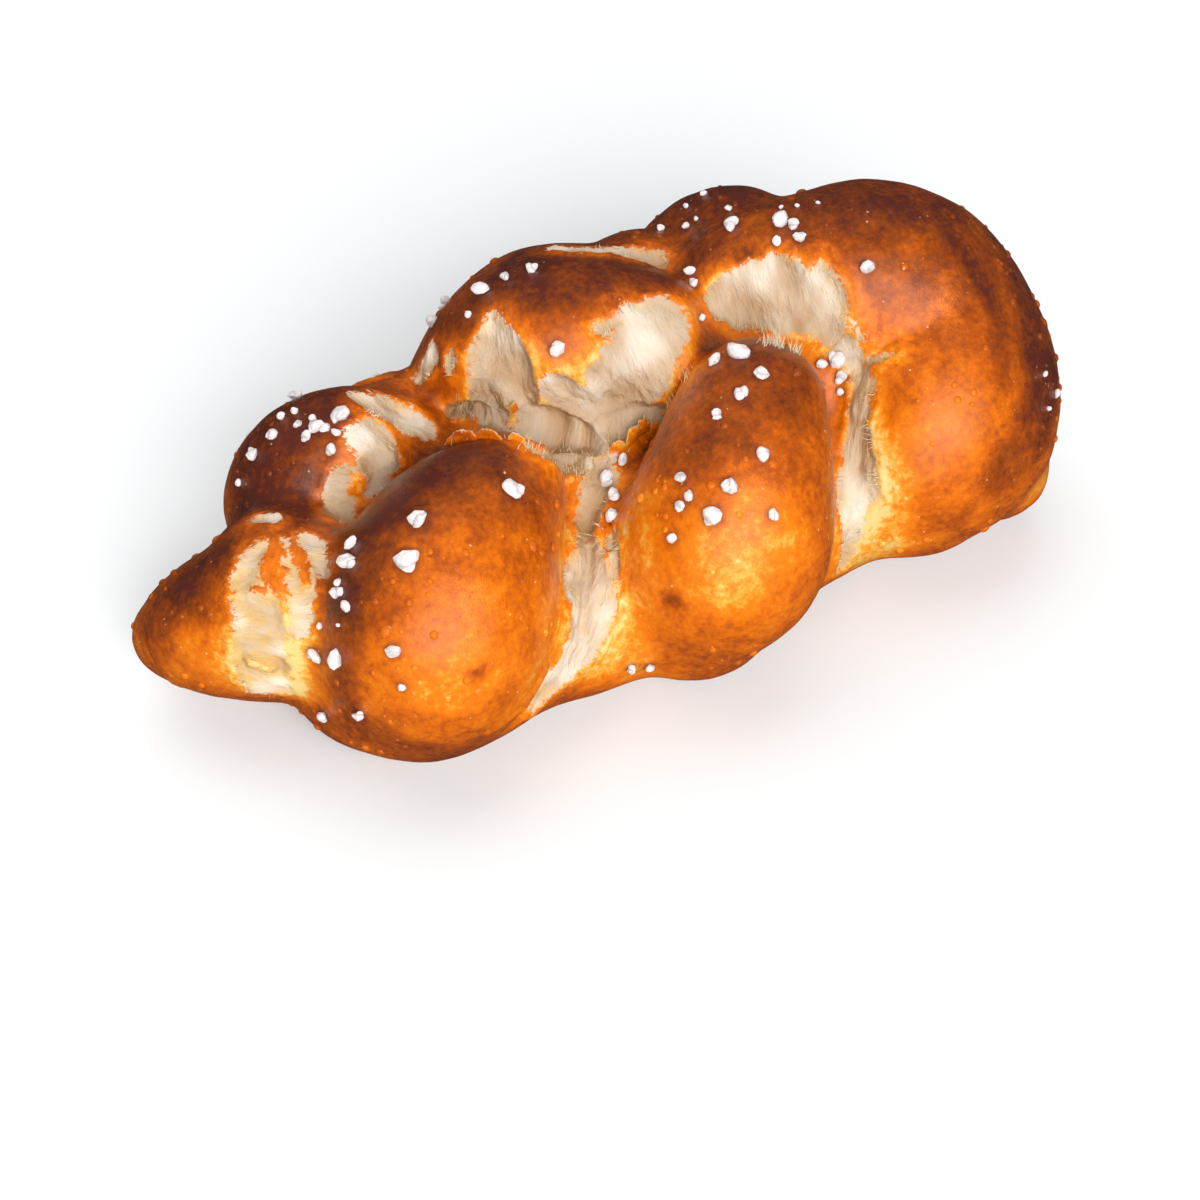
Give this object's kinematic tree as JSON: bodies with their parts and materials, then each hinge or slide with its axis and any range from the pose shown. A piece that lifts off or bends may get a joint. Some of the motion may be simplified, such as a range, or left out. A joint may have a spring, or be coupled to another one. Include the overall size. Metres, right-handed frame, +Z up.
{
  "type": "braided pretzel loaf",
  "caption": "Small plaited loaf of pretzel dough with a glossy brown crust, torn pale crumb in its splits and coarse salt, flat underneath.",
  "frame": {"origin": "centre of the loaf's box, at the level of its flat base", "axes": "+X along the loaf, away from its pointed end; +Y to the loaf's back; +Z up"},
  "size_m": [0.1667, 0.092, 0.0579],
  "materials": {
    "crust": "glossy browned lye crust",
    "crumb": "matt torn bread crumb",
    "salt": "coarse opaque salt grains"
  },
  "bodies": {
    "root": {"loaf": "crust"}
  },
  "joints": []
}
